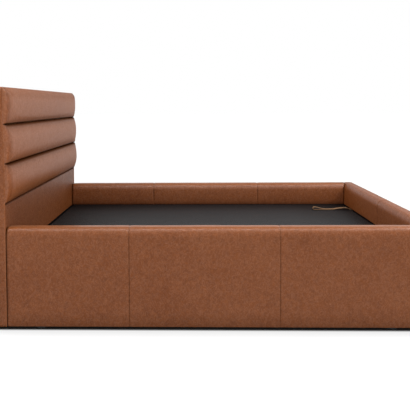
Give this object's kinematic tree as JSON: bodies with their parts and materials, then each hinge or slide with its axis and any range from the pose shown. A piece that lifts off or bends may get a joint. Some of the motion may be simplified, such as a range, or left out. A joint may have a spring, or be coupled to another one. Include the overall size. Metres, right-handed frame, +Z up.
{
  "type": "storage bed",
  "caption": "Upholstered lift-up storage bed with a channelled headboard, padded side rails and footboard, and a hinged deck on gas struts over a storage box.",
  "frame": {"origin": "on the floor, under the centre of the bed's bounding box", "axes": "+X from the headboard to the footboard, +Y to the left of someone who lies in the bed, +Z up"},
  "size_m": [2.21, 1.7, 1.173],
  "materials": {
    "tan_leather": "soft tan upholstery leather over foam",
    "charcoal_fabric": "charcoal woven deck fabric",
    "black_lining": "black lining on the headboard's back",
    "pine": "planed softwood",
    "plywood": "plywood",
    "black_steel": "black powder coat",
    "zinc_steel": "zinc plated",
    "chromed_rod": "polished",
    "black_plastic": "moulded black",
    "white_nylon": "natural nylon"
  },
  "bodies": {
    "bed_box": {"headboard_back_cover": "black_lining", "headboard_face_board": "plywood", "headboard_frame": "pine", "headboard_border": "tan_leather", "headboard_lower_pad": "tan_leather", "channel_pad_bottom": "tan_leather", "channel_pad_middle": "tan_leather", "channel_pad_top": "tan_leather", "rail_left_cover": "tan_leather", "rail_left_core": "pine", "rail_right_cover": "tan_leather", "rail_right_core": "pine", "footboard_cover": "tan_leather", "footboard_core": "pine", "corner_bracket_head_left": "black_steel", "corner_bracket_head_right": "black_steel", "corner_bracket_foot_left": "black_steel", "corner_bracket_foot_right": "black_steel", "side_ledger_left": "pine", "side_ledger_right": "pine", "foot_ledger": "pine", "base_batten_left": "pine", "base_batten_right": "pine", "centre_bearer": "pine", "base_board_head": "charcoal_fabric", "base_board_foot": "charcoal_fabric", "hinge_plate_left": "black_steel", "hinge_plate_right": "black_steel", "hinge_pin_left": "zinc_steel", "hinge_pin_right": "zinc_steel", "deck_buffer_left": "black_plastic", "deck_buffer_right": "black_plastic", "glide_bearer": "black_plastic", "glide_rail_head_left": "black_plastic", "glide_rail_head_right": "black_plastic", "glide_rail_foot_left": "black_plastic", "glide_rail_foot_right": "black_plastic", "glide_headboard_left": "black_plastic", "glide_headboard_right": "black_plastic", "glide_footboard_left": "black_plastic", "glide_footboard_right": "black_plastic"},
    "deck": {"deck_frame": "pine", "deck_board_left": "plywood", "deck_board_right": "plywood", "deck_cover": "charcoal_fabric", "lift_arm_left": "black_steel", "lift_arm_right": "black_steel", "hinge_bush_left": "white_nylon", "hinge_bush_right": "white_nylon", "pull_strap": "tan_leather", "strap_clamp": "black_steel"},
    "strut_cylinder_left": {"strut_cylinder_left": "black_steel", "strut_lower_eye_left": "zinc_steel"},
    "strut_rod_left": {"strut_rod_left": "chromed_rod", "strut_upper_eye_left": "zinc_steel"},
    "strut_cylinder_right": {"strut_cylinder_right": "black_steel", "strut_lower_eye_right": "zinc_steel"},
    "strut_rod_right": {"strut_rod_right": "chromed_rod", "strut_upper_eye_right": "zinc_steel"}
  },
  "joints": [
    {"name": "deck_lift", "type": "hinge", "parent": "bed_box", "child": "deck", "pos_m": [-0.685, 0, 0.3], "axis": [0, -1, 0], "range_deg": [0, 36]},
    {"name": "strut_swing_left", "type": "hinge", "parent": "bed_box", "child": "strut_cylinder_left", "pos_m": [-0.6723, 0.722, 0.08], "axis": [0, -1, 0], "range_deg": [0, 19]},
    {"name": "strut_slide_left", "type": "slide", "parent": "strut_cylinder_left", "child": "strut_rod_left", "axis": [0.7302, 0, 0.6832], "range_m": [0, 0.093]},
    {"name": "strut_swing_right", "type": "hinge", "parent": "bed_box", "child": "strut_cylinder_right", "pos_m": [-0.6723, -0.722, 0.08], "axis": [0, -1, 0], "range_deg": [0, 19]},
    {"name": "strut_slide_right", "type": "slide", "parent": "strut_cylinder_right", "child": "strut_rod_right", "axis": [0.7302, 0, 0.6832], "range_m": [0, 0.093]}
  ],
  "couplings": [
    {"joint": "strut_swing_left", "follows": "deck_lift", "ratio": 0.526},
    {"joint": "strut_slide_left", "follows": "deck_lift", "m_per_rad": 0.1478},
    {"joint": "strut_swing_right", "follows": "deck_lift", "ratio": 0.526},
    {"joint": "strut_slide_right", "follows": "deck_lift", "m_per_rad": 0.1478}
  ]
}
